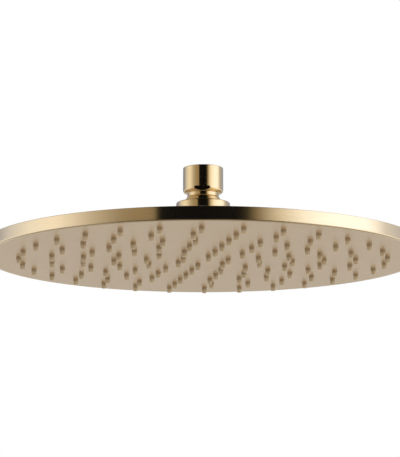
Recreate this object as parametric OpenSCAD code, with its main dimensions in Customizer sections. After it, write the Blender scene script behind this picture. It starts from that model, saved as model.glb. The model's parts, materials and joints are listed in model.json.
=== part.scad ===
// Round overhead shower head on a ball swivel.
// The origin is the centre of the inlet's mouth, +Z points up the supply arm, and the face looks down.
// Heights in the dimensions below are measured up from the face. from_face() carries them to the origin.

/* [Disc] */
// Outside diameter of the disc
disc_d = 300; // [298:1:320]
// Height of the rim
rim_h = 9; // [8.6:0.1:11]
// Radius on the rim's top edge
edge_r = 0.5; // [0.3:0.1:0.8]
// Radius on the rim's lower edge, round the face
low_edge_r = 1; // [0.5:0.1:1.4]
// Thickness of the back
back_t = 1.8; // [1.5:0.1:2.2]
// Thickness of the rim's wall above the face plate
rim_wall = 6; // [5.5:0.1:7]
// Width of the rim's lip round the face plate
lip_w = 2.5; // [2:0.1:3]
// Thickness of the face plate
plate_t = 1.5; // [1.2:0.1:1.8]
// Chamfer round each hole of the face plate
hole_edge = 0.3; // [0.1:0.1:0.5]

/* [Nozzles] */
// Radius of the inner ring of nozzles
ring_first_r = 18; // [17:0.1:19]
// Step in radius from ring to ring
ring_step = 21.6; // [21:0.1:21.8]
// Nozzle diameter where it leaves the face
nozzle_d = 3.7; // [3.2:0.1:4]
// Nozzle diameter at its tip
nozzle_tip_d = 3.2; // [2.8:0.1:3.6]
// How far a nozzle stands out of the face
nozzle_out = 4.1; // [2.5:0.1:4.2]
// Diameter of the jet
jet_d = 1.3; // [0.8:0.1:1.6]
// Thickness of the silicone mat
mat_t = 1.2; // [1:0.1:1.4]
// Thickness of the retainer plate over the mat
retainer_t = 1.5; // [1.5:0.1:1.7]

/* [Swivel] */
// Ball diameter
ball_d = 26.5; // [26:0.1:26.8]
// Height of the ball's centre above the face
ball_z = 36.7; // [36.5:0.1:37]
// Outside diameter of the collar and the housing
collar_d = 37.2; // [37:0.1:39]
// Height of the collar's outer top edge above the face
collar_top = 40; // [39.8:0.1:40.2]
// Radius on the collar's outer top edge
collar_edge = 1; // [0.4:0.1:1.2]
// Gap between the ball and its seats
seat_gap = 0.05; // [0.03:0.01:0.1]

/* [Inlet] */
// Height of the whole head above the face
total_h = 64.6; // [64.2:0.1:66]
// Outside diameter of the inlet nut
nut_d = 27.8; // [27.6:0.1:30]
// Height of the inlet nut
nut_h = 17.9; // [17.6:0.1:18]
// Width across the two spanner flats of the nut
flats_w = 25.6; // [25:0.1:26.4]
// Height of the spanner flats above the nut's lower edge
flats_h = 3; // [2.5:0.1:5]
// Turn of the spanner flats from the front, in degrees
flats_turn = -3; // [-90:1:90]
// Diameter of the neck under the nut
neck_d = 21.8; // [21.4:0.1:22]
// Outside diameter of the pipe thread
thread_d = 20.96; // [20.9:0.01:21]
// Length of the thread
thread_len = 10; // [9:0.1:10]
// Diameter of the water way through the ball
bore_d = 12; // [11:0.1:12]

/* [Hidden] */
$fn = 96;
disc_fn = 240;
seal_fn = 64;
small_fn = 32;

// Cutters reach past what they cut: by eps where faces meet, by over where there is room, or by far
eps = 0.01;
over = 1;
far = 200;

// Gaps that let pieces go together: close for a fit, easy for the rest
close_gap = 0.05;
easy_gap = 0.1;

gold = [0.78, 0.63, 0.40];
brushed_gold = [0.72, 0.65, 0.58];
silicone = [0.55, 0.47, 0.34];
white_plastic = [0.90, 0.90, 0.87];
black_rubber = [0.10, 0.10, 0.10];
steel = [0.70, 0.71, 0.72];
grey_plastic = [0.45, 0.47, 0.50];

// Disc: radii and heights that follow from the sections above
disc_r = disc_d / 2;
wall_r = disc_r - rim_wall;
lip_r = disc_r - lip_w;
plate_edge = 0.2;
mat_z = plate_t;
mat_r = wall_r - 0.3;
retainer_z = mat_z + mat_t;
retainer_r = wall_r - 0.5;
chamber_z = retainer_z + retainer_t;
back_z = rim_h - back_t;
pad_r = 24;
pad_t = 3;
pad_fillet = 1;
inner_fillet = 1.5;
water_hole_r = 8;

// Nozzle rings: how many nozzles stand in each ring, from the inside out
ring_counts = [6, 12, 18, 24, 24, 30];
ring_start = 101.6;
hole_d = nozzle_d + 2 * easy_gap;
feed_d = 3.2;
feed_depth = 0.3;
jet_top = -0.4;
tip_edge = 0.35;

// Bosses: [radius, count] of each circle
boss_rings = [[ring_first_r + 2.5 * ring_step, 6], [wall_r - 8, 12]];
boss_start = ring_start + 15;
boss_d = 7;
retainer_screw_len = 5.6;
boss_past_screw = 0.2;

// Countersunk screws: hole size, and the screw itself a little smaller
m3_d = 3;
m3_screw_d = 2.9;
m3_clear_d = 3.2;
m3_head_d = 5.6;
m3_head_h = 1.4;
m3_sink_d = 5.8;
m3_sink_h = 1.5;
recess_w = 0.7;
recess_l = 3;
recess_h = 0.8;

// O-rings: cord diameter and the share of it that its groove takes
rim_cord = 1.8;
rim_seal_r = (wall_r + lip_r) / 2 - 0.1;
hub_cord = 1.8;
hub_seal_r = 17;
groove_extra = 0.2;

// Swivel
ball_r = ball_d / 2;
collar_r = collar_d / 2;
housing_bore_r = 14;
lip_open_r = 14;
lip_rise = 1.1;
lip_edge = 0.3;
lip_under = collar_top - 0.75;
screw_thread_r = 16.7;
thread_lead = 0.5;
housing_top = ball_z - 0.7;
seam_z = 25;
seam_gap = 0.3;
seam_edge = 0.3;
foot_r = 24;
foot_t = 1.6;
foot_edge = 0.6;
foot_fillet = 4;
cup_floor = 19.5;
cup_edge = 0.4;
cushion_h = 3;
cushion_groove_r = 0.6;
cushion_in_r = 9;
cushion_out_r = housing_bore_r - 0.2;
seat_edge = 0.4;
seat_in_r = 8.2;
lower_seat_top = 29.7;
upper_seat_z = housing_top + 0.6;
nose_top = collar_top + 0.8;
ball_cord = 1.9;
ball_bottom_r = 8;
ball_bottom_edge = 1.2;
hub_screw_circle = 11.8;
hub_screw_count = 6;
hub_screw_len = 10;
hub_past_screw = 1;
slit_w = 1.5;

// Diffuser and the pegs that seat it in the retainer plate
diffuser_r = 12;
diffuser_tip_r = 1;
diffuser_edge = 0.6;
diffuser_rise = 5;
peg_d = 2;
peg_len = 1.4;
peg_circle = 8;
peg_count = 3;

// Inlet
nut_r = nut_d / 2;
neck_r = neck_d / 2;
thread_r = thread_d / 2;
bore_r = bore_d / 2;
nut_z = total_h - nut_h;
mouth_chamfer = 1;
neck_fillet = 0.4;
nut_top_edge = 0.6;
nut_bottom_edge = 2;
thread_z = total_h - mouth_chamfer - thread_len;
relief_r = thread_r + 0.25;
relief_h = 3;
seat_z = thread_z - relief_h;
pocket_r = 7.5;
pocket_h = 5.8;
washer_r = 9.2;
washer_hole_r = 5.8;
washer_t = 2.2;
washer_edge = 0.2;
screen_t = 0.3;
screen_base_r = washer_hole_r - 0.2;
screen_rim_r = 6.8;
screen_rise = 1.4;
reg_r = pocket_r - 0.08;
reg_z = seat_z - pocket_h + close_gap;
reg_top = seat_z - easy_gap;
reg_core_r = 2.6;
reg_wall = 1.2;
reg_floor = 1.2;
reg_step = 0.8;
reg_edge = 0.4;
reg_cord = 2.2;
reg_holes = 12;
reg_hole_d = 1.2;

function ring_r(k) = ring_first_r + k * ring_step;

// Carries a shape from heights above the face to heights below the inlet's mouth
module from_face() {
    translate([0, 0, -total_h]) children();
}

// Spins a half section, drawn in radius and height, into a solid
module spin(fn = $fn) {
    rotate_extrude($fn = fn)
        intersection() {
            children();
            translate([0, -far]) square([far, 2 * far]);
        }
}

// A box in radius and height, from [r1, z1] to [r2, z2]
module band(r1, z1, r2, z2) {
    translate([r1, z1]) square([r2 - r1, z2 - z1]);
}

// The sliver between a square corner and the arc that rounds it. The corner is at [x, y] and the
// sliver lies towards sx and sy, each 1 or -1. Cut away it rounds an edge, added it fills a corner.
module rounding(x, y, r, sx, sy) {
    translate([x, y])
        scale([sx, sy])
            difference() {
                translate([-eps, -eps]) square(r + eps);
                translate([r, r]) circle(r);
            }
}

// A chamfer to cut from the corner at [x, y], towards sx and sy
module chamfer(x, y, c, sx, sy) {
    translate([x, y])
        polygon([[-sx * eps, -sy * eps], [sx * c, -sy * eps], [-sx * eps, sy * c]]);
}

// Places its children at every nozzle
module at_nozzles() {
    for (k = [0 : len(ring_counts) - 1])
        for (i = [0 : ring_counts[k] - 1])
            rotate(ring_start + i * 360 / ring_counts[k])
                translate([ring_r(k), 0, 0]) children();
}

// Places its children at every boss that holds the retainer plate
module at_bosses() {
    for (ring = boss_rings)
        for (i = [0 : ring[1] - 1])
            rotate(boss_start + i * 360 / ring[1])
                translate([ring[0], 0, 0]) children();
}

// Places its children at every screw under the hub
module at_hub_screws() {
    for (i = [0 : hub_screw_count - 1])
        rotate(i * 360 / hub_screw_count)
            translate([hub_screw_circle, 0, 0]) children();
}

// Places its children at every peg under the diffuser
module at_pegs() {
    for (i = [0 : peg_count - 1])
        rotate(i * 360 / peg_count)
            translate([peg_circle, 0, 0]) children();
}

// Countersunk screw that points up from its head's flat face at the origin
module screw(len) {
    difference() {
        union() {
            cylinder(d1 = m3_head_d, d2 = m3_screw_d, h = m3_head_h, $fn = small_fn);
            cylinder(d = m3_screw_d, h = len, $fn = small_fn);
        }
        for (a = [0, 90])
            rotate(a)
                translate([-recess_l / 2, -recess_w / 2, -eps])
                    cube([recess_l, recess_w, recess_h]);
    }
}

// Hole for a countersunk screw through a sheet of thickness t, with its wide end at the origin
module screw_hole(t) {
    translate([0, 0, -eps]) cylinder(d = m3_clear_d, h = t + 2 * eps, $fn = small_fn);
    translate([0, 0, -eps]) cylinder(d1 = m3_sink_d, d2 = m3_d, h = m3_sink_h, $fn = small_fn);
}

// Ring of round cord, its middle at radius r and height z
module cord_ring(r, z, d) {
    spin() translate([r, z]) circle(d = d, $fn = small_fn);
}

// Inlet nut, neck and ball, turned in one piece, with two flats for a spanner
module ball_connector() {
    bottom_z = ball_z - sqrt(ball_r * ball_r - ball_bottom_r * ball_bottom_r);
    color(gold) from_face()
        difference() {
            spin()
                difference() {
                    union() {
                        band(0, nut_z, nut_r, total_h);
                        band(0, ball_z, neck_r, nut_z + eps);
                        intersection() {
                            translate([0, ball_z]) circle(ball_r);
                            band(0, bottom_z, far, far);
                        }
                        rounding(neck_r, nut_z, neck_fillet, 1, -1);
                    }
                    rounding(nut_r, total_h, nut_top_edge, -1, -1);
                    rounding(nut_r, nut_z, nut_bottom_edge, -1, 1);
                    band(-over, bottom_z - over, bore_r, far);
                    band(-over, seat_z - pocket_h, pocket_r, far);
                    band(-over, seat_z, relief_r, thread_z);
                    band(-over, thread_z - eps, thread_r, far);
                    chamfer(thread_r - eps, total_h, mouth_chamfer, 1, -1);
                    chamfer(bore_r - eps, bottom_z, ball_bottom_edge, 1, 1);
                }
            for (side = [0, 180])
                rotate(flats_turn + side) spanner_cutter();
        }
}

// What a mill takes off one side of the nut for a spanner, up from its lower edge
module spanner_cutter() {
    translate([-nut_r, flats_w / 2, nut_z - over])
        cube([nut_d, nut_r, flats_h + over]);
}

// Washer in the bottom of the thread, with a groove for the screen's rim
module inlet_washer() {
    mid = seat_z + washer_t / 2;
    color(black_rubber) from_face() spin()
        difference() {
            band(washer_hole_r, seat_z, washer_r, seat_z + washer_t);
            band(0, mid - screen_t / 2, screen_rim_r + close_gap, mid + screen_t / 2);
            chamfer(washer_r, seat_z + washer_t, washer_edge, -1, -1);
        }
}

// Filter: a shallow dome with a flat rim
module inlet_screen() {
    dome_r = (screen_base_r * screen_base_r + screen_rise * screen_rise) / (2 * screen_rise);
    low = seat_z + washer_t / 2 - screen_t / 2;
    color(steel) from_face() spin() {
        band(screen_base_r - screen_t, low, screen_rim_r, low + screen_t);
        intersection() {
            difference() {
                translate([0, low + screen_t + screen_rise - dome_r]) circle(dome_r);
                translate([0, low + screen_rise - dome_r]) circle(dome_r);
            }
            band(0, low, screen_base_r, far);
        }
    }
}

// Flow regulator: a cup with a core, and holes in the floor of the channel between them
module regulator_body() {
    channel_r = reg_r - reg_wall;
    color(grey_plastic) from_face()
        difference() {
            spin(seal_fn)
                difference() {
                    band(0, reg_z, reg_r, reg_top);
                    band(reg_core_r, reg_z + reg_floor, channel_r, far);
                    band(-over, reg_top - reg_step, channel_r, far);
                    chamfer(reg_r, reg_z, reg_edge, -1, 1);
                }
            for (i = [0 : reg_holes - 1])
                rotate(i * 360 / reg_holes)
                    translate([(reg_core_r + channel_r) / 2, 0, reg_z - over])
                        cylinder(d = reg_hole_d, h = reg_floor + 2 * over, $fn = small_fn);
        }
}

// Rubber ring that closes the regulator's channel as the flow rises
module regulator_ring() {
    mid_r = (reg_core_r + reg_r - reg_wall) / 2;
    color("firebrick") from_face() cord_ring(mid_r, reg_z + reg_floor + reg_cord / 2, reg_cord);
}

// Split ring between the ball and the collar's lip
module upper_seat() {
    outer_r = screw_thread_r - easy_gap;
    color(white_plastic) from_face()
        difference() {
            spin()
                difference() {
                    union() {
                        band(0, upper_seat_z, outer_r, lip_under - close_gap);
                        band(0, upper_seat_z, lip_open_r - easy_gap, nose_top);
                    }
                    translate([0, ball_z]) circle(ball_r + seat_gap);
                    chamfer(outer_r, upper_seat_z, seat_edge, -1, 1);
                }
            translate([0, -slit_w / 2, upper_seat_z - over]) cube([far, slit_w, far]);
        }
}

// Seat under the ball, hollowed to fit it
module lower_seat() {
    outer_r = housing_bore_r - easy_gap;
    bottom = cup_floor + cushion_h;
    color(white_plastic) from_face() spin()
        difference() {
            band(seat_in_r, bottom, outer_r, lower_seat_top);
            translate([0, ball_z]) circle(ball_r + seat_gap);
            chamfer(outer_r, bottom, seat_edge, -1, 1);
        }
}

// O-ring in the corner between the ball and the housing's bore
module ball_seal() {
    r = housing_bore_r - ball_cord / 2 - seat_gap;
    reach = ball_r + ball_cord / 2 + seat_gap;
    z = ball_z - sqrt(reach * reach - r * r);
    color(black_rubber) from_face() cord_ring(r, z, ball_cord);
}

// Rubber ring that presses the lower seat on the ball
module cushion_ring() {
    color(black_rubber) from_face() spin()
        difference() {
            band(cushion_in_r, cup_floor, cushion_out_r, cup_floor + cushion_h);
            for (r = [cushion_in_r, cushion_out_r])
                translate([r, cup_floor + cushion_h / 2]) circle(cushion_groove_r, $fn = small_fn);
        }
}

// Ring nut whose lip holds the upper seat down on the ball
module collar() {
    bottom = seam_z + seam_gap;
    inner_r = screw_thread_r + easy_gap;
    color(gold) from_face() spin()
        difference() {
            union() {
                band(0, bottom, collar_r, collar_top);
                polygon([
                    [0, collar_top - eps], [collar_r - collar_edge, collar_top - eps],
                    [lip_open_r, collar_top + lip_rise], [0, collar_top + lip_rise]
                ]);
            }
            band(-over, bottom - over, inner_r, lip_under);
            band(-over, lip_under - eps, lip_open_r, far);
            chamfer(lip_open_r - eps, collar_top + lip_rise, lip_edge, 1, -1);
            rounding(collar_r, collar_top, collar_edge, -1, -1);
            chamfer(collar_r, bottom, seam_edge, -1, 1);
            chamfer(inner_r - eps, bottom, thread_lead, 1, 1);
        }
}

// Cup that carries the ball, with a spreading foot on the back of the disc
module swivel_housing() {
    foot_top = rim_h + foot_t;
    screw_hole_h = hub_screw_len - pad_t + hub_past_screw;
    color(gold) from_face()
        difference() {
            spin()
                difference() {
                    union() {
                        band(0, rim_h, foot_r, foot_top);
                        band(0, rim_h, collar_r, seam_z);
                        band(0, rim_h, screw_thread_r, housing_top);
                        rounding(collar_r, foot_top, foot_fillet, 1, 1);
                    }
                    rounding(foot_r, foot_top, foot_edge, -1, -1);
                    chamfer(collar_r, seam_z, seam_edge, -1, -1);
                    chamfer(screw_thread_r, housing_top, thread_lead, -1, -1);
                    band(-over, rim_h - over, water_hole_r, far);
                    band(-over, cup_floor, housing_bore_r, far);
                    chamfer(housing_bore_r - eps, housing_top, cup_edge, 1, -1);
                    band(
                        hub_seal_r - hub_cord / 2 - groove_extra, rim_h - over,
                        hub_seal_r + hub_cord / 2 + groove_extra, rim_h + hub_cord
                    );
                }
            at_hub_screws()
                translate([0, 0, rim_h - over])
                    cylinder(d = m3_d, h = over + screw_hole_h, $fn = small_fn);
        }
}

// O-ring in the groove under the housing
module hub_seal() {
    color(black_rubber) from_face() cord_ring(hub_seal_r, rim_h + hub_cord / 2, hub_cord);
}

// Countersunk screws up through the back of the disc into the housing
module hub_screws() {
    color(steel) from_face()
        at_hub_screws()
            translate([0, 0, rim_h - pad_t]) screw(hub_screw_len);
}

// Half section of the disc's back, rim, pad under the hub and seat for the face plate
module shell_section() {
    difference() {
        union() {
            band(water_hole_r, back_z, disc_r, rim_h);
            band(water_hole_r, rim_h - pad_t, pad_r, rim_h);
            band(wall_r, 0, disc_r, rim_h);
            rounding(wall_r, back_z, inner_fillet, -1, -1);
            rounding(pad_r, back_z, pad_fillet, 1, -1);
        }
        band(wall_r - over, -over, lip_r, plate_t);
        band(
            rim_seal_r - rim_cord / 2 - groove_extra, plate_t - eps,
            rim_seal_r + rim_cord / 2 + groove_extra, plate_t + rim_cord
        );
        rounding(disc_r, rim_h, edge_r, -1, -1);
        rounding(disc_r, 0, low_edge_r, -1, 1);
    }
}

// Back and rim of the disc, with the bosses for the retainer plate
module top_shell() {
    boss_hole_h = retainer_screw_len - retainer_t + boss_past_screw;
    color(gold) from_face()
        difference() {
            union() {
                spin(disc_fn) shell_section();
                at_bosses()
                    translate([0, 0, chamber_z])
                        cylinder(d = boss_d, h = back_z - chamber_z + eps, $fn = small_fn);
            }
            at_bosses()
                translate([0, 0, chamber_z - over])
                    cylinder(d = m3_d, h = over + boss_hole_h, $fn = small_fn);
            at_hub_screws() translate([0, 0, rim_h - pad_t]) screw_hole(pad_t);
        }
}

// O-ring between the shell's shoulder and the face plate
module rim_seal() {
    color(black_rubber) from_face()
        spin(disc_fn)
            translate([rim_seal_r, plate_t + rim_cord / 2]) circle(d = rim_cord, $fn = small_fn);
}

// Face plate with a hole for every nozzle
module face_plate() {
    plate_r = lip_r - close_gap;
    color(brushed_gold) from_face()
        difference() {
            spin(disc_fn)
                difference() {
                    band(0, 0, plate_r, plate_t);
                    chamfer(plate_r, 0, plate_edge, -1, 1);
                }
            at_nozzles() {
                translate([0, 0, -over]) cylinder(d = hole_d, h = plate_t + 2 * over, $fn = small_fn);
                translate([0, 0, -eps])
                    cylinder(d1 = hole_d + 2 * hole_edge, d2 = hole_d, h = hole_edge + eps, $fn = small_fn);
            }
        }
}

// Half section of one nozzle, from the mat down through the face plate to the tip
module nozzle_section() {
    root = nozzle_d / 2;
    tip = nozzle_tip_d / 2;
    polygon([
        [0, mat_z + eps], [root, mat_z + eps], [root, 0],
        [tip, -nozzle_out + tip_edge], [tip - tip_edge, -nozzle_out], [0, -nozzle_out]
    ]);
}

// Half section of the water way in one nozzle: a funnel that narrows to the jet
module jet_section() {
    top = retainer_z + over;
    bottom = -nozzle_out - over;
    polygon([
        [0, top], [feed_d / 2, top], [feed_d / 2, retainer_z - feed_depth],
        [jet_d / 2, jet_top], [jet_d / 2, bottom], [0, bottom]
    ]);
}

// Silicone mat with its nozzles
module nozzle_mat() {
    color(silicone) from_face()
        difference() {
            union() {
                translate([0, 0, mat_z]) cylinder(r = mat_r, h = mat_t, $fn = disc_fn);
                at_nozzles() rotate_extrude($fn = small_fn) nozzle_section();
            }
            at_nozzles() rotate_extrude($fn = small_fn) jet_section();
        }
}

// Plate over the mat, with a feed hole over every nozzle
module retainer_plate() {
    color(grey_plastic) from_face()
        translate([0, 0, retainer_z])
            difference() {
                linear_extrude(retainer_t)
                    difference() {
                        circle(r = retainer_r, $fn = disc_fn);
                        at_nozzles() circle(d = feed_d, $fn = small_fn);
                        at_pegs() circle(d = peg_d + easy_gap, $fn = small_fn);
                    }
                at_bosses() screw_hole(retainer_t);
            }
}

// Countersunk screws up through the retainer plate into the bosses
module retainer_screws() {
    color(steel) from_face()
        at_bosses() translate([0, 0, retainer_z]) screw(retainer_screw_len);
}

// Cone under the inlet that turns the water outwards, with its pegs in the retainer plate
module diffuser() {
    edge_z = chamber_z + diffuser_edge;
    run = diffuser_r - diffuser_tip_r;
    flank_r = (run * run + diffuser_rise * diffuser_rise) / (2 * diffuser_rise);
    color(white_plastic) from_face() {
        spin(seal_fn)
            difference() {
                band(0, chamber_z, diffuser_r, edge_z + diffuser_rise);
                translate([diffuser_r, edge_z + flank_r]) circle(flank_r);
            }
        at_pegs()
            translate([0, 0, chamber_z - peg_len])
                cylinder(d = peg_d, h = peg_len + eps, $fn = small_fn);
    }
}

ball_connector();
inlet_washer();
inlet_screen();
regulator_body();
regulator_ring();
upper_seat();
lower_seat();
ball_seal();
cushion_ring();
collar();
swivel_housing();
hub_seal();
hub_screws();
top_shell();
rim_seal();
face_plate();
nozzle_mat();
retainer_plate();
retainer_screws();
diffuser();
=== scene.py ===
import json
import math
import bmesh
import bpy
from mathutils import Matrix, Vector


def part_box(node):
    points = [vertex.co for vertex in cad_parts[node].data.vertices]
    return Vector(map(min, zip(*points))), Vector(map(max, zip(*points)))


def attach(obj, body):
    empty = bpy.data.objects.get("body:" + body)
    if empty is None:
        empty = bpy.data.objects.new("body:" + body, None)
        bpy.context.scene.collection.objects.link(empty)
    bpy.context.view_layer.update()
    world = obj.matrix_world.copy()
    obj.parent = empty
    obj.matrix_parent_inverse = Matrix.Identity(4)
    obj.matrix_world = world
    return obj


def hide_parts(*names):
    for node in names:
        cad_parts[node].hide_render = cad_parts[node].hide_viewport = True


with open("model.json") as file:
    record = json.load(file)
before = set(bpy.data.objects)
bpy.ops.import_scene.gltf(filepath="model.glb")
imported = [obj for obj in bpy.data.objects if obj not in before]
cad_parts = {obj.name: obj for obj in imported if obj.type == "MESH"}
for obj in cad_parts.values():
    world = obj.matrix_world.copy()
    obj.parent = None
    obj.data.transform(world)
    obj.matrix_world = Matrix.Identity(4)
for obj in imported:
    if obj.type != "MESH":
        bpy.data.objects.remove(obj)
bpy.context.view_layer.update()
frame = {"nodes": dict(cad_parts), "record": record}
scene = bpy.context.scene
print("frame loaded,", len(frame["nodes"]), "nodes")

# Sections are drawn in millimetres: radius from the axis, and height above the face's plane
mm = 0.001
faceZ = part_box("face_plate")[0].z
fullTurn = 2 * math.pi
weldGap = 0.002 * mm
steps = {"disc": 288, "hub": 160, "hole": 24, "nozzle": 16, "thread": 64}  # all divide by four
chamfer, tinyRound, smallRound, plainRound, wideRound = 1, 2, 3, 5, 8  # steps across an edge


# Shader graphs

class Wire:
    # an output socket that adds its Math nodes when it is used in a sum
    def __init__(self, graph, socket):
        self.graph = graph
        self.socket = socket

    def maths(self, operation, first, second):
        return self.graph.node("ShaderNodeMath", {"operation": operation}, {0: first, 1: second})

    def __add__(self, other):
        return self.maths("ADD", self, other)

    def __radd__(self, other):
        return self.maths("ADD", other, self)

    def __sub__(self, other):
        return self.maths("SUBTRACT", self, other)

    def __rsub__(self, other):
        return self.maths("SUBTRACT", other, self)

    def __mul__(self, other):
        return self.maths("MULTIPLY", self, other)

    def __rmul__(self, other):
        return self.maths("MULTIPLY", other, self)

    def __truediv__(self, other):
        return self.maths("DIVIDE", self, other)

    def __rtruediv__(self, other):
        return self.maths("DIVIDE", other, self)

    def highest(self, other):
        return self.maths("MAXIMUM", self, other)

    def between(self, low, high):
        # 0 below low, 1 above high, and smooth in the middle
        values = {"Value": self, "From Min": low, "From Max": high}
        return self.graph.node("ShaderNodeMapRange", {"interpolation_type": "SMOOTHSTEP"}, values)


class Graph:
    def __init__(self, tree):
        self.tree = tree
        tree.nodes.clear()

    def node(self, kind, settings=None, values=None, out=0):
        made = self.tree.nodes.new(kind)
        for key, setting in (settings or {}).items():
            if key == "stops":
                setStops(made.color_ramp, setting)
            else:
                setattr(made, key, setting)
        for key, value in (values or {}).items():
            if isinstance(value, Wire):
                self.tree.links.new(value.socket, made.inputs[key])
            else:
                made.inputs[key].default_value = value
        return Wire(self, made.outputs[out]) if made.outputs else None

    def vector(self, operation, *values, out=0):
        numbered = dict(enumerate(values))
        return self.node("ShaderNodeVectorMath", {"operation": operation}, numbered, out)

    def axis(self, spot, letter):
        return self.node("ShaderNodeSeparateXYZ", {}, {0: spot}, letter)

    def blend(self, share, first, second):
        # Mix node on colours: its colour sockets are 6 and 7, its colour result is 2
        first, second = (c if isinstance(c, Wire) else (*c, 1.0) for c in (first, second))
        values = {0: share, 6: first, 7: second}
        return self.node("ShaderNodeMix", {"data_type": "RGBA"}, values, 2)

    def noise(self, spot, scale, detail=2.0, rough=0.5):
        values = {"Vector": spot, "Scale": scale, "Detail": detail, "Roughness": rough}
        return self.node("ShaderNodeTexNoise", {}, values)

    def relief(self, look, height):
        values = {"Strength": look["bump"], "Distance": look["depth"], "Height": height}
        return self.node("ShaderNodeBump", {}, values)

    def surface(self, kind, values):
        # the last shader, joined to the material's output
        self.node("ShaderNodeOutputMaterial", {}, {"Surface": self.node(kind, {}, values)})


def setStops(ramp, stops):
    while len(ramp.elements) < len(stops):
        ramp.elements.new(1.0)
    for element, (place, colour) in zip(ramp.elements, stops):
        element.position = place
        element.color = (*colour, 1.0)


def newFinish(name):
    finish = bpy.data.materials.new(name)
    finish.use_nodes = True
    return finish, Graph(finish.node_tree)


def objectSpot(graph):
    return graph.node("ShaderNodeTexCoord", out="Object")


def levelled(graph, spot):
    # the spot without its height, so that its length is the distance from the axis
    return graph.vector("MULTIPLY", spot, (1, 1, 0))


# Finishes: a noise of 0 to 1 moves the roughness by its spread, and depths are in metres

golds = {
    "polished": {
        "tone": (0.82, 0.65, 0.39), "dull": (0.78, 0.61, 0.35), "around": 3.0, "across": 2600,
        "rough": 0.14, "roughSpread": 0.04, "bump": 0.08, "depth": 0.00002, "aniso": 0.25,
        "coat": 0.0,
    },
    "brushed": {
        "tone": (0.93, 0.77, 0.53), "dull": (0.88, 0.715, 0.47), "around": 9.0, "across": 3200,
        "rough": 0.20, "roughSpread": 0.04, "bump": 0.15, "depth": 0.00003, "aniso": 1.0,
        "coat": 0.0,
    },
    "face": {
        "tone": (0.96, 0.755, 0.49), "dull": (0.92, 0.715, 0.455), "around": 9.0, "across": 2600,
        "rough": 0.41, "roughSpread": 0.06, "bump": 0.12, "depth": 0.00003, "aniso": 0.0,
        "coat": 1.0,
    },
}
brush = {  # the marks that all golds share, upright is how much quicker they change up a wall
    "upright": 1.37, "detail": 3.0, "grain": 0.6, "cloud": 45.0, "dullFrom": 0.35, "dullTo": 0.75,
    "turn": 0.25, "coatRough": 0.40,
}
middle = 0.5  # of a noise


def ringSpot(graph, around, across):
    # slow along a ring about the axis, quick from ring to ring
    spot = objectSpot(graph)
    flat = levelled(graph, spot)
    radius = graph.vector("LENGTH", flat, out="Value")
    rings = (radius + graph.axis(spot, "Z") * brush["upright"]) * across
    depth = graph.node("ShaderNodeCombineXYZ", {}, {"Z": rings})
    return graph.vector("MULTIPLY_ADD", graph.vector("NORMALIZE", flat), (around,) * 3, depth)


def makeGold(name, look):
    finish, graph = newFinish(name)
    marks = ringSpot(graph, look["around"], look["across"])
    streak = graph.noise(marks, 1.0, brush["detail"], brush["grain"])
    cloud = graph.noise(objectSpot(graph), brush["cloud"])
    spread = look["roughSpread"]
    dulled = streak.between(brush["dullFrom"], brush["dullTo"])
    graph.surface("ShaderNodeBsdfPrincipled", {
        "Base Color": graph.blend(dulled, look["tone"], look["dull"]),
        "Roughness": look["rough"] + (streak - middle) * spread + (cloud - middle) * spread,
        "Normal": graph.relief(look, streak), "Metallic": 1.0,
        "Anisotropic": look["aniso"], "Anisotropic Rotation": brush["turn"],
        "Coat Weight": look["coat"], "Coat Roughness": brush["coatRough"],
    })
    return finish


softs = {
    "silicone": {
        "tone": (0.60, 0.46, 0.285), "mark": (0.56, 0.425, 0.26), "scale": 700.0,
        "rough": 0.42, "roughSpread": 0.12, "bump": 0.10, "depth": 0.00003, "sheen": 0.1,
        "paintedRootShade": (0.37, 0.26, 0.14), "shadeFullAbove": 0.9, "shadeGoneBelow": 2.6,  # painted root shade: full above and gone below these mm under the face
    },
    "blackRubber": {
        "tone": (0.020, 0.020, 0.021), "mark": (0.035, 0.034, 0.033), "scale": 900.0,
        "rough": 0.55, "roughSpread": 0.20, "bump": 0.20, "depth": 0.00003, "sheen": 0.1,
    },
    "redRubber": {
        "tone": (0.45, 0.05, 0.035), "mark": (0.36, 0.04, 0.03), "scale": 900.0,
        "rough": 0.50, "roughSpread": 0.20, "bump": 0.20, "depth": 0.00003, "sheen": 0.1,
    },
    "whitePlastic": {
        "tone": (0.80, 0.79, 0.76), "mark": (0.74, 0.73, 0.70), "scale": 500.0,
        "rough": 0.38, "roughSpread": 0.12, "bump": 0.08, "depth": 0.00002, "sheen": 0.0,
    },
    "greyPlastic": {
        "tone": (0.25, 0.26, 0.28), "mark": (0.21, 0.22, 0.24), "scale": 500.0,
        "rough": 0.40, "roughSpread": 0.12, "bump": 0.10, "depth": 0.00002, "sheen": 0.0,
    },
}
mottle = {"detail": 3.0, "grain": 0.55, "coarser": 12, "cloudDetail": 1.0, "limits": (0.3, 0.7)}


def makeSoft(name, look):
    finish, graph = newFinish(name)
    fine = graph.noise(objectSpot(graph), look["scale"], mottle["detail"], mottle["grain"])
    cloudScale = look["scale"] / mottle["coarser"]
    cloud = graph.noise(objectSpot(graph), cloudScale, mottle["cloudDetail"])
    colour = graph.blend(cloud.between(*mottle["limits"]), look["tone"], look["mark"])
    if "paintedRootShade" in look:  # painted shade: darker at the nozzles' roots, as if shaded in the plate's holes, fading to the plain tone at their tips
        height = graph.axis(objectSpot(graph), "Z")
        root = height.between(faceZ - look["shadeGoneBelow"] * mm, faceZ - look["shadeFullAbove"] * mm)
        # the painted root shade is blended over the silicone's own colour
        colour = graph.blend(root, colour, look["paintedRootShade"])
    graph.surface("ShaderNodeBsdfPrincipled", {
        "Base Color": colour,
        "Roughness": look["rough"] + (fine - middle) * look["roughSpread"],
        "Normal": graph.relief(look, fine), "Metallic": 0.0, "Sheen Weight": look["sheen"],
    })
    return finish


steel = {
    "tone": (0.62, 0.62, 0.61), "dull": (0.52, 0.52, 0.51), "scale": 1500.0, "detail": 3.0,
    "grain": 0.6, "rough": 0.28, "roughSpread": 0.15, "bump": 0.15, "depth": 0.00002,
}


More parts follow.
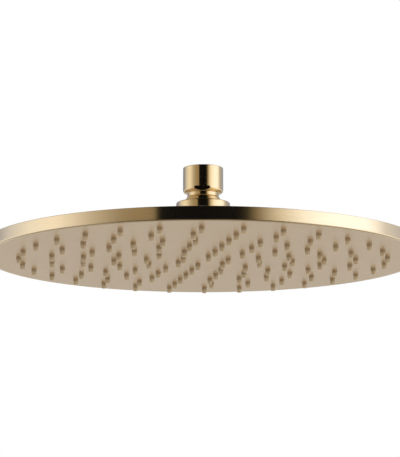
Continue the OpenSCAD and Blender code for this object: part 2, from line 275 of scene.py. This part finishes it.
def makeSteel(name, look):
    finish, graph = newFinish(name)
    grain = graph.noise(objectSpot(graph), look["scale"], look["detail"], look["grain"])
    graph.surface("ShaderNodeBsdfPrincipled", {
        "Base Color": graph.blend(grain.between(*mottle["limits"]), look["tone"], look["dull"]),
        "Roughness": look["rough"] + (grain - middle) * look["roughSpread"],
        "Normal": graph.relief(look, grain), "Metallic": 1.0,
    })
    return finish


finishes = {name: makeGold(name + " gold", look) for name, look in golds.items()}
finishes.update({name: makeSoft(name, look) for name, look in softs.items()})
finishes["steel"] = makeSteel("stainless steel", steel)
print("finishes made,", len(finishes))


# Modelling

def at(radius, height):
    return Vector((radius * mm, 0, faceZ + height * mm))


def halfSection(corners, closed=False):
    # a corner's third number is its round or chamfer, a fourth number is how many steps it gets
    bm = bmesh.new()
    verts = [bm.verts.new(at(corner[0], corner[1])) for corner in corners]
    for one, other in zip(verts, verts[1:] + (verts[:1] if closed else [])):
        bm.edges.new((one, other))
    for vert, corner in zip(verts, corners):
        if len(corner) > 2:
            segments = corner[3] if len(corner) > 3 else plainRound
            bmesh.ops.bevel(bm, geom=[vert], offset=corner[2] * mm, offset_type="OFFSET",
                            segments=segments, profile=0.5, affect="VERTICES", material=-1)
    return bm


def turned(corners, count, closed=False, start=0.0, sweep=fullTurn):
    bm = halfSection(corners, closed)
    bmesh.ops.rotate(bm, verts=bm.verts[:], cent=(0, 0, 0), matrix=Matrix.Rotation(start, 3, "Z"))
    bmesh.ops.spin(bm, geom=bm.verts[:] + bm.edges[:], cent=(0, 0, 0), axis=(0, 0, 1),
                   angle=sweep, steps=count, use_merge=sweep == fullTurn)
    return bm


def arc(centreHeight, radius, first, last, count):
    # points of a circle about the axis, by angle above the level, in degrees
    angles = [math.radians(first + (last - first) * i / count) for i in range(count + 1)]
    return [(radius * math.cos(a), centreHeight + radius * math.sin(a)) for a in angles]


def ringPlaces(radius, count, start=0.0):
    # the places of a ring of like features, as matrices
    turns = [math.radians(start + i * 360 / count) for i in range(count)]
    return [Matrix.Rotation(a, 4, "Z") @ Matrix.Translation((radius * mm, 0, 0)) for a in turns]


def flatFace(height, outlines, places=(), hole=0.0, holeSteps=steps["hole"]):
    # level face between outlines about the axis, by radius and steps, with a hole at each place
    bm = bmesh.new()
    circles = [(Matrix.Identity(4), radius, count) for radius, count in outlines]
    circles += [(place, hole, holeSteps) for place in places]
    lift = Matrix.Translation((0, 0, faceZ + height * mm))
    for place, radius, count in circles:
        bmesh.ops.create_circle(bm, cap_ends=False, radius=radius * mm, segments=count,
                                matrix=place @ lift)
    bmesh.ops.triangle_fill(bm, use_beauty=True, use_dissolve=False, edges=bm.edges[:],
                            normal=(0, 0, 1))
    return bm


def repeated(bm, places):
    small = bpy.data.meshes.new("small part")
    bm.to_mesh(small)
    bm.free()
    whole = bmesh.new()
    for place in places:
        before = len(whole.verts)
        whole.from_mesh(small)
        whole.verts.ensure_lookup_table()
        bmesh.ops.transform(whole, matrix=place, verts=whole.verts[before:])
    bpy.data.meshes.remove(small)
    return whole


bodies = frame["record"]["behaviour"]["bodies"]
bodyOf = {node: body for body, nodes in bodies.items() for node in nodes}
sharpFrom = 32  # degrees between faces from which an edge is shaded sharp


def makePiece(name, parts, node, finish, sharp=sharpFrom):
    # welds the parts of one piece, points its faces outwards and evens its shading
    mesh = bpy.data.meshes.new(name)
    whole = bmesh.new()
    for part in parts:
        part.to_mesh(mesh)
        whole.from_mesh(mesh)
        part.free()
    bmesh.ops.remove_doubles(whole, verts=whole.verts[:], dist=weldGap)
    bmesh.ops.recalc_face_normals(whole, faces=whole.faces[:])
    openEdges = sum(1 for edge in whole.edges if not edge.is_manifold)
    whole.to_mesh(mesh)
    whole.free()
    piece = bpy.data.objects.new(name, mesh)
    scene.collection.objects.link(piece)
    mesh.materials.append(finish)
    mesh.shade_smooth()
    mesh.set_sharp_from_angle(angle=math.radians(sharp))
    even = piece.modifiers.new("even", "WEIGHTED_NORMAL")
    even.keep_sharp = True
    with bpy.context.temp_override(object=piece, active_object=piece):
        bpy.ops.object.modifier_apply(modifier=even.name)
    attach(piece, bodyOf[node])
    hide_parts(node)
    print("piece", name, len(mesh.polygons), "faces,", openEdges, "open edges")


# Disc: land is the narrow flat ring between a rounded edge and a flat face

disc = {
    "radius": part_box("top_shell")[1].x / mm, "height": 9.0, "edge": 0.5, "lowEdge": 1.0,
    "backThickness": 1.8, "wall": 6.0, "innerFillet": 1.5, "lip": 2.5, "lipEdge": 0.15,
    "padRadius": 24.0, "padThickness": 3.0, "padFillet": 1.0, "waterHole": 8.0, "land": 0.2,
}
rimGroove = {"inner": 144.55, "outer": 146.75, "depth": 1.8}
boss = {
    "radius": 3.5, "hole": 1.5, "holeTop": 8.5, "low": 4.2, "start": 116.6,
    "rings": ((72.0, 6), (136.0, 12)),
}
hubScrew = {
    "circle": 11.8, "count": 6, "clearHole": 1.6, "headHole": 2.9, "headDepth": 1.4,
    "pilot": 1.5, "pilotTop": 17.0,
}
plate = {"thickness": 1.5, "gap": 0.05, "edge": 0.2, "holeGap": 0.1, "holeEdge": 0.3}
nozzle = {
    "firstRing": 18.0, "ringStep": 21.6, "counts": (6, 12, 18, 24, 24, 30), "start": 101.6,
    "root": 1.85, "tip": 1.6, "out": 4.1, "tipEdge": 0.35, "jet": 0.65, "jetTop": -0.4,
    "feed": 1.6, "feedDepth": 0.3, "matBottom": 1.5, "matTop": 2.7, "matRadius": 143.7,
}
hubPlaces = ringPlaces(hubScrew["circle"], hubScrew["count"])
bossPlaces = []
for ringRadius, ringCount in boss["rings"]:
    bossPlaces += ringPlaces(ringRadius, ringCount, boss["start"])
nozzlePlaces = []
for ringNumber, ringCount in enumerate(nozzle["counts"]):
    ringRadius = nozzle["firstRing"] + ringNumber * nozzle["ringStep"]
    nozzlePlaces += ringPlaces(ringRadius, ringCount, nozzle["start"])


def makeShell():
    # back, rim, pad under the hub and the bosses inside
    d = disc
    back = d["height"] - d["backThickness"]
    padLow = d["height"] - d["padThickness"]
    wall = d["radius"] - d["wall"]
    lip = d["radius"] - d["lip"]
    shoulder = plate["thickness"]
    grooveTop = shoulder + rimGroove["depth"]
    inner = wall - d["innerFillet"] - d["land"]
    outer = d["radius"] - d["edge"] - d["land"]
    padOuter = d["padRadius"] + d["padFillet"] + d["land"]
    padInner = d["padRadius"] - d["land"]
    waterOutline = (d["waterHole"], steps["hub"])
    rim = turned([
        (inner, back), (wall, back, d["innerFillet"]), (wall, shoulder),
        (rimGroove["inner"], shoulder), (rimGroove["inner"], grooveTop),
        (rimGroove["outer"], grooveTop), (rimGroove["outer"], shoulder),
        (lip, shoulder), (lip, 0, d["lipEdge"], tinyRound), (d["radius"], 0, d["lowEdge"]),
        (d["radius"], d["height"], d["edge"]), (outer, d["height"]),
    ], steps["disc"])
    pad = turned([
        (padOuter, back), (d["padRadius"], back, d["padFillet"]),
        (d["padRadius"], padLow), (padInner, padLow),
    ], steps["hub"])
    waterWall = turned([(d["waterHole"], padLow), (d["waterHole"], d["height"])], steps["hub"])
    backTop = flatFace(d["height"], [(outer, steps["disc"]), waterOutline],
                       hubPlaces, hubScrew["clearHole"])
    backUnder = flatFace(back, [(inner, steps["disc"]), (padOuter, steps["hub"])],
                         bossPlaces, boss["radius"])
    padUnder = flatFace(padLow, [(padInner, steps["hub"]), waterOutline],
                        hubPlaces, hubScrew["headHole"])
    screwHole = turned([
        (hubScrew["headHole"], padLow), (hubScrew["clearHole"], padLow + hubScrew["headDepth"]),
        (hubScrew["clearHole"], d["height"]),
    ], steps["hole"])
    bossShape = turned([
        (boss["radius"], back), (boss["radius"], boss["low"]), (boss["hole"], boss["low"]),
        (boss["hole"], boss["holeTop"]), (0, boss["holeTop"]),
    ], steps["hole"])
    parts = [rim, pad, waterWall, backTop, backUnder, padUnder]
    parts += [repeated(screwHole, hubPlaces), repeated(bossShape, bossPlaces)]
    makePiece("discShell", parts, "top_shell", finishes["brushed"])


def makeFacePlate():
    p = plate
    radius = disc["radius"] - disc["lip"] - p["gap"]
    flatRadius = radius - p["edge"] - disc["land"]
    hole = nozzle["root"] + p["holeGap"]
    mouth = hole + p["holeEdge"]
    low = flatFace(0, [(flatRadius, steps["disc"])], nozzlePlaces, mouth)
    high = flatFace(p["thickness"], [(radius, steps["disc"])], nozzlePlaces, hole)
    band = turned([
        (flatRadius, 0), (radius, 0, p["edge"], smallRound), (radius, p["thickness"]),
    ], steps["disc"])
    lining = turned([(mouth, 0), (hole, p["holeEdge"]), (hole, p["thickness"])], steps["hole"])
    parts = [low, high, band, repeated(lining, nozzlePlaces)]
    makePiece("facePlate", parts, "face_plate", finishes["face"])


def makeNozzleMat():
    n = nozzle
    outline = [(n["matRadius"], steps["disc"])]
    low = flatFace(n["matBottom"], outline, nozzlePlaces, n["root"], steps["nozzle"])
    high = flatFace(n["matTop"], outline, nozzlePlaces, n["feed"], steps["nozzle"])
    edge = turned([(n["matRadius"], n["matBottom"]), (n["matRadius"], n["matTop"])], steps["disc"])
    single = turned([
        (n["root"], n["matBottom"]), (n["root"], 0),
        (n["tip"], -n["out"], n["tipEdge"], smallRound), (n["jet"], -n["out"]),
        (n["jet"], n["jetTop"]), (n["feed"], n["matTop"] - n["feedDepth"]),
        (n["feed"], n["matTop"]),
    ], steps["nozzle"])
    parts = [low, high, edge, repeated(single, nozzlePlaces)]
    makePiece("nozzleMat", parts, "nozzle_mat", finishes["silicone"])


print("disc")
makeShell()
makeFacePlate()
makeNozzleMat()


# Hub: heights above the face's plane, as in the disc

housing = {
    "foot": 24.0, "footTop": 10.6, "footEdge": 0.6, "footFillet": 4.0, "body": 18.6,
    "seam": 25.0, "seamEdge": 0.3, "threadRadius": 16.7, "threadEdge": 0.5, "top": 36.0,
    "bore": 14.0, "boreEdge": 0.4, "floor": 19.5,
    "grooveInner": 15.9, "grooveOuter": 18.1, "grooveTop": 10.8,
}


def makeHousing():
    h = housing
    low = disc["height"]
    inner = h["grooveInner"]
    body = turned([
        (inner, low), (inner, h["grooveTop"]), (h["grooveOuter"], h["grooveTop"]),
        (h["grooveOuter"], low), (h["foot"], low), (h["foot"], h["footTop"], h["footEdge"]),
        (h["body"], h["footTop"], h["footFillet"], wideRound),
        (h["body"], h["seam"], h["seamEdge"], chamfer), (h["threadRadius"], h["seam"]),
        (h["threadRadius"], h["top"], h["threadEdge"], chamfer),
        (h["bore"], h["top"], h["boreEdge"], chamfer), (h["bore"], h["floor"]),
        (disc["waterHole"], h["floor"]), (disc["waterHole"], low),
    ], steps["hub"])
    under = flatFace(low, [(inner, steps["hub"]), (disc["waterHole"], steps["hub"])],
                     hubPlaces, hubScrew["pilot"])
    pilot = turned([
        (hubScrew["pilot"], low), (hubScrew["pilot"], hubScrew["pilotTop"]),
        (0, hubScrew["pilotTop"]),
    ], steps["hole"])
    parts = [body, under, repeated(pilot, hubPlaces)]
    makePiece("hubHousing", parts, "swivel_housing", finishes["polished"])


collar = {
    "bottom": 25.3, "bottomEdge": 0.3, "radius": 18.6, "top": 40.0, "edge": 0.98, "cone": 17.6,
    "mouth": 14.0, "mouthTop": 41.1, "mouthEdge": 0.3, "lipUnder": 39.25,
    "bore": 16.8, "boreEdge": 0.5,
}


def makeCollar():
    c = collar
    ring = turned([
        (c["bore"], c["bottom"], c["boreEdge"], chamfer),
        (c["radius"], c["bottom"], c["bottomEdge"], chamfer),
        (c["radius"], c["top"], c["edge"]), (c["cone"], c["top"]),
        (c["mouth"], c["mouthTop"], c["mouthEdge"], chamfer),
        (c["mouth"], c["lipUnder"]), (c["bore"], c["lipUnder"]),
    ], steps["hub"], closed=True)
    makePiece("collarRing", [ring], "collar", finishes["polished"])


# Connector: ball, neck and inlet nut in one, and flat is the radius of the cut below the ball

ball = {
    "centre": 36.7, "radius": 13.25, "arcSteps": 24, "flat": 8.0, "bore": 6.0, "boreEdge": 1.2,
    "neck": 10.9, "neckFillet": 0.4,
}
nut = {
    "low": 46.7, "top": 64.6, "radius": 13.9, "lowEdge": 2.0, "topEdge": 0.6, "mouthEdge": 1.0,
    "threadRadius": 10.48, "threadLow": 53.6, "relief": 10.73, "seat": 50.6,
    "pocket": 7.5, "pocketLow": 44.8, "sharp": 20,
}
flats = {"half": 12.8, "top": 49.7, "turn": -3.0, "ledge": 0.02}  # half the width across them
thread = {  # clear is the run below its first turn, bite is how deep its root sits in the wall
    "crest": 9.32, "crestHalf": 0.24, "crestEdge": 0.12, "rootHalf": 0.85, "pitch": 1.814,
    "clear": 1.0, "bite": 0.06,
}


def makeThread():
    # one ridge of pipe thread that winds up the nut's bore
    t = thread
    root = nut["threadRadius"] + t["bite"]
    first = nut["threadLow"] + t["clear"]
    turns = (nut["top"] - nut["mouthEdge"] - first - t["rootHalf"]) / t["pitch"]
    bm = halfSection([
        (root, first - t["rootHalf"]), (root, first + t["rootHalf"]),
        (t["crest"], first + t["crestHalf"], t["crestEdge"], tinyRound),
        (t["crest"], first - t["crestHalf"], t["crestEdge"], tinyRound),
    ], closed=True)
    bmesh.ops.contextual_create(bm, geom=bm.edges[:])
    count = int(turns * steps["thread"])
    bmesh.ops.spin(bm, geom=bm.verts[:] + bm.edges[:] + bm.faces[:], cent=(0, 0, 0),
                   axis=(0, 0, 1), angle=count * fullTurn / steps["thread"], steps=count,
                   dvec=(0, 0, t["pitch"] * mm / steps["thread"]))
    return bm


def millFlats(bm):
    # cuts the nut's lower part along two planes and moves what stands outside onto them
    low = faceZ + (nut["low"] - flats["ledge"]) * mm
    top = faceZ + (flats["top"] - flats["ledge"] / 2) * mm
    for side in (0, 180):
        out = Matrix.Rotation(math.radians(flats["turn"] + side), 3, "Z") @ Vector((0, 1, 0))
        band = [face for face in bm.faces if low < face.calc_center_median().z < top]
        edges = dict.fromkeys(edge for face in band for edge in face.edges)
        verts = dict.fromkeys(vert for face in band for vert in face.verts)
        bmesh.ops.bisect_plane(bm, geom=band + [*edges] + [*verts], dist=weldGap,
                               plane_co=out * flats["half"] * mm, plane_no=out)
        for vert in bm.verts:
            beyond = vert.co.dot(out) - flats["half"] * mm
            if beyond > 0 and low < vert.co.z < top:
                vert.co -= out * beyond


def makeConnector():
    b = ball
    n = nut
    flatAngle = -math.degrees(math.acos(b["flat"] / b["radius"]))
    neckAngle = math.degrees(math.acos(b["neck"] / b["radius"]))
    ballPoints = arc(b["centre"], b["radius"], flatAngle, neckAngle, b["arcSteps"])
    low = ballPoints[0][1]
    body = turned([(b["bore"], low, b["boreEdge"], chamfer)] + ballPoints + [
        (b["neck"], n["low"], b["neckFillet"]), (n["radius"], n["low"], n["lowEdge"], wideRound),
        (n["radius"], flats["top"] - flats["ledge"]), (n["radius"], flats["top"]),
        (n["radius"], n["top"], n["topEdge"]), (n["threadRadius"] + n["mouthEdge"], n["top"]),
        (n["threadRadius"], n["top"] - n["mouthEdge"]), (n["threadRadius"], n["threadLow"]),
        (n["relief"], n["threadLow"]), (n["relief"], n["seat"]), (n["pocket"], n["seat"]),
        (n["pocket"], n["pocketLow"]), (b["bore"], n["pocketLow"]),
    ], steps["hub"], closed=True)
    millFlats(body)
    parts = [body, makeThread()]
    makePiece("inletConnector", parts, "ball_connector", finishes["polished"],
              n["sharp"])


seat = {
    "low": 36.6, "lowEdge": 0.4, "shoulder": 39.2, "nose": 40.8, "outer": 16.6,
    "noseRadius": 13.9, "ball": 13.3, "arcSteps": 8, "slit": 5.8,
}


def makeUpperSeat():
    # the slit, in degrees, lets it snap over the neck
    s = seat
    top = math.degrees(math.asin((s["nose"] - ball["centre"]) / s["ball"]))
    low = math.degrees(math.asin((s["low"] - ball["centre"]) / s["ball"]))
    slit = math.radians(s["slit"])
    ring = turned(arc(ball["centre"], s["ball"], top, low, s["arcSteps"]) + [
        (s["outer"], s["low"], s["lowEdge"], chamfer), (s["outer"], s["shoulder"]),
        (s["noseRadius"], s["shoulder"]), (s["noseRadius"], s["nose"]),
    ], steps["hub"], True, slit / 2, fullTurn - slit)
    ends = [edge for edge in ring.edges if edge.is_boundary]
    bmesh.ops.edgeloop_fill(ring, edges=ends)
    makePiece("splitSeat", [ring], "upper_seat", finishes["whitePlastic"])


washer = {
    "hole": 5.8, "holeEdge": 0.15, "radius": 9.2, "rimEdge": 0.2, "low": 50.6, "top": 52.8,
    "slotRadius": 6.85, "slotLow": 51.55, "slotTop": 51.85,
}


def makeWasher():
    w = washer
    ring = turned([
        (w["hole"], w["low"], w["holeEdge"], tinyRound), (w["radius"], w["low"]),
        (w["radius"], w["top"], w["rimEdge"], tinyRound),
        (w["hole"], w["top"], w["holeEdge"], tinyRound), (w["hole"], w["slotTop"]),
        (w["slotRadius"], w["slotTop"]), (w["slotRadius"], w["slotLow"]), (w["hole"], w["slotLow"]),
    ], steps["hub"], closed=True)
    makePiece("inletWasher", [ring], "inlet_washer", finishes["blackRubber"])


screen = {"rise": 1.4, "wire": 0.26, "cells": 14, "rimInner": 5.3, "rimOuter": 6.8, "held": 0.3}


def makeScreen():
    # woven wire pressed into a shallow dome, its edge held in a flat rim
    s = screen
    rim = turned([
        (s["rimInner"], washer["slotLow"]), (s["rimOuter"], washer["slotLow"]),
        (s["rimOuter"], washer["slotTop"]), (s["rimInner"], washer["slotTop"]),
    ], steps["hub"], closed=True)
    weave = bmesh.new()
    reach = s["rimInner"] + s["held"]
    bmesh.ops.create_grid(weave, x_segments=s["cells"], y_segments=s["cells"], size=reach * mm)
    outside = [vert for vert in weave.verts if vert.co.length > reach * mm]
    bmesh.ops.delete(weave, geom=outside, context="VERTS")
    level = faceZ + (washer["slotLow"] + washer["slotTop"]) / 2 * mm
    for vert in weave.verts:
        share = vert.co.length / (reach * mm)
        vert.co.z = level + s["rise"] * mm * (1 - share * share)
    bmesh.ops.wireframe(weave, faces=weave.faces[:], thickness=s["wire"] * mm, offset=0.0,
                        use_replace=True, use_boundary=True, use_even_offset=True)
    makePiece("filterScreen", [rim, weave], "inlet_screen", finishes["steel"])


print("hub")
makeHousing()
makeCollar()
makeConnector()
makeUpperSeat()
makeWasher()
makeScreen()

# Inner pieces keep their CAD shape
innerFinish = {
    "regulator_body": "greyPlastic", "regulator_ring": "redRubber", "lower_seat": "whitePlastic",
    "ball_seal": "blackRubber", "cushion_ring": "blackRubber", "hub_seal": "blackRubber",
    "hub_screws": "steel", "rim_seal": "blackRubber", "retainer_plate": "greyPlastic",
    "retainer_screws": "steel", "diffuser": "whitePlastic",
}
for node, finishName in innerFinish.items():
    for materialSlot in frame["nodes"][node].material_slots:
        materialSlot.material = finishes[finishName]
print("inner pieces finished,", len(innerFinish))


# Studio: a white world, and round the head a drum of cards and soft panels for the metal to mirror

studio = {
    "radius": 6.0, "sides": 96, "bands": 48, "fill": 0.85,
    "walls": (  # heading in degrees from the camera's side, level where white is 1, and warmth
        (-180, 0.36, -1.0), (-146, 0.32, -1.0), (-130, 0.42, -0.7), (-118, 0.66, -0.4),
        (-98, 0.95, 0.0), (-80, 1.03, 0.1), (-70, 0.84, 0.2), (-58, 0.55, 0.4), (-46, 0.39, 0.6),
        (-36, 0.32, 0.9), (-23.5, 0.29, 1.0), (-22.5, 0.005, -1.0), (17.5, 0.005, -1.0),
        (22, 0.035, 1.0), (27, 0.25, 1.0), (39, 0.92, 0.3), (50, 1.25, -0.1), (72, 1.44, -0.5),
        (90, 1.40, -0.5), (98, 1.15, -0.3), (106, 0.70, -0.3), (126, 0.48, -0.6),
        (150, 0.45, -1.0), (180, 0.36, -1.0),
    ),
    "ground": (
        (-180, 0.58, 0.1), (-130, 0.80, 0.0), (-110, 1.10, 0.0), (-80, 1.00, 0.0),
        (-66, 0.75, 0.0), (-50, 0.33, 0.3), (-42, 0.005, -1.0), (40, 0.005, -1.0),
        (48, 0.45, 0.3), (60, 1.15, 0.0), (85, 1.20, 0.0), (110, 1.15, 0.0), (130, 0.85, 0.0),
        (180, 0.58, 0.1),
    ),
    "under": (
        (-180, 0.30, 0.5), (-90, 0.30, 0.5), (0, 0.03, 1.0), (90, 0.35, 0.5), (180, 0.30, 0.5),
    ),
    "back": (0.45, 0.2),  # level and warmth overhead at the rear
    "warm": (1.26, 1.0, 0.62), "cool": (0.93, 1.0, 1.3),
    # where one part blends into the next, by how far a mirrored ray points up, or to the rear
    "overFrom": (0.25, 0.55), "groundTo": (-0.05, 0.05), "underTo": (-0.55, -0.30),
    "backFrom": (0.10, 0.60),
}


def tinted(level, warmth):
    # a warm card is a little amber, a cool one a little blue
    hue = studio["warm"] if warmth > 0 else studio["cool"]
    return tuple(level * (1 + (value - 1) * abs(warmth)) for value in hue)


def cards(graph, part, spot):
    # a ramp of the part's levels, on a spot that goes from 0 to 1 in a whole turn
    stops = [(angle / 360 + 0.5, tinted(level, warmth)) for angle, level, warmth in studio[part]]
    return graph.node("ShaderNodeValToRGB", {"stops": stops}, {0: spot})


def stage(name, bm, finish):
    mesh = bpy.data.meshes.new(name)
    bm.to_mesh(mesh)
    bm.free()
    mesh.materials.append(finish)
    item = bpy.data.objects.new(name, mesh)
    scene.collection.objects.link(item)
    return item


def makeWorld():
    # white to the camera and in mirrors, a little less as light on the head
    scene.world = bpy.data.worlds.new("white studio")
    scene.world.use_nodes = True
    graph = Graph(scene.world.node_tree)
    seen = graph.node("ShaderNodeLightPath", out="Is Camera Ray")
    for kind in ("Is Glossy Ray", "Is Transmission Ray"):
        seen = seen.highest(graph.node("ShaderNodeLightPath", out=kind))
    strength = studio["fill"] + seen * (1 - studio["fill"])
    values = {"Color": (1, 1, 1, 1), "Strength": strength}
    white = graph.node("ShaderNodeBackground", {}, values)
    graph.node("ShaderNodeOutputWorld", {}, {"Surface": white})


def makeDrum():
    # the drum is seen in gloss alone, and lights nothing
    finish, graph = newFinish("studio cards")
    way = graph.vector("NORMALIZE", objectSpot(graph))
    east, north, rise = (graph.axis(way, letter) for letter in "XYZ")
    heading = east.maths("ARCTAN2", east, 0 - north) / fullTurn + 0.5
    overhead = east.maths("ARCSINE", east, 0) / fullTurn + 0.5
    over = cards(graph, "walls", overhead)
    over = graph.blend(north.between(*studio["backFrom"]), over, tinted(*studio["back"]))
    room = graph.blend(rise.between(*studio["overFrom"]), cards(graph, "walls", heading), over)
    room = graph.blend(rise.between(*studio["groundTo"]), cards(graph, "ground", heading), room)
    room = graph.blend(rise.between(*studio["underTo"]), cards(graph, "under", heading), room)
    graph.surface("ShaderNodeEmission", {"Color": room, "Strength": 1.0})
    finish.cycles.emission_sampling = "NONE"
    drum = bmesh.new()
    bmesh.ops.create_uvsphere(drum, u_segments=studio["sides"], v_segments=studio["bands"],
                              radius=studio["radius"])
    item = stage("studio drum", drum, finish)
    item.visible_camera = False
    item.visible_diffuse = False
    item.visible_shadow = False
    item.visible_transmission = False


floor = {
    "height": -0.62, "radius": 3.0, "sides": 64, "fadeFrom": 0.9, "fadeTo": 2.6,
    "pale": (0.90, 0.90, 0.89), "dark": (0.7, 0.7, 0.69), "darkShare": 0.06, "scale": 60.0,
}


def makeFloor():
    # it fades out to the white world, and is clear from beneath so that it never hides the face
    finish, graph = newFinish("pale floor")
    grain = graph.noise(objectSpot(graph), floor["scale"])
    tone = graph.blend(grain * floor["darkShare"], floor["pale"], floor["dark"])
    matt = graph.node("ShaderNodeBsdfDiffuse", {}, {"Color": tone})
    away = graph.vector("LENGTH", levelled(graph, objectSpot(graph)), out="Value")
    behind = graph.node("ShaderNodeNewGeometry", out="Backfacing")
    gone = away.between(floor["fadeFrom"], floor["fadeTo"]).highest(behind)
    clear = graph.node("ShaderNodeBsdfTransparent")
    graph.surface("ShaderNodeMixShader", {0: gone, 1: matt, 2: clear})
    bm = bmesh.new()
    bmesh.ops.create_circle(bm, cap_ends=True, radius=floor["radius"], segments=floor["sides"],
                            matrix=Matrix.Translation((0, 0, floor["height"])))
    stage("floor", bm, finish).visible_glossy = False


lamps = {
    "overhead panel": {"place": (0.5, -0.4, 2.2), "side": 1.8, "power": 8.0},
    "right panel": {"place": (2.2, -0.6, 0.1), "side": 1.4, "power": 14.0},
}


def makeLamps():
    # each looks at the middle of the face
    for name, lamp in lamps.items():
        light = bpy.data.lights.new(name, "AREA")
        light.shape = "SQUARE"
        light.size = lamp["side"]
        light.energy = lamp["power"]
        holder = bpy.data.objects.new(name, light)
        holder.location = lamp["place"]
        aim = Vector((0, 0, faceZ)) - holder.location
        holder.rotation_euler = aim.to_track_quat("-Z", "Y").to_euler()
        holder.visible_glossy = False
        scene.collection.objects.link(holder)


makeWorld()
makeDrum()
makeFloor()
makeLamps()
print("studio ready")

# The photograph's view: a little below the face, looking up at it
view = {
    "place": (0, -1.3018, -0.2803), "tilt": 100.355, "turn": 0.095, "lens": 151.4, "sensor": 36.0,
}
camera = bpy.data.objects.new("camera", bpy.data.cameras.new("camera"))
camera.location = view["place"]
camera.rotation_euler = (math.radians(view["tilt"]), 0, math.radians(view["turn"]))
camera.data.lens = view["lens"]
camera.data.sensor_width = view["sensor"]
scene.collection.objects.link(camera)
scene.camera = camera
scene.view_settings.view_transform = "Standard"
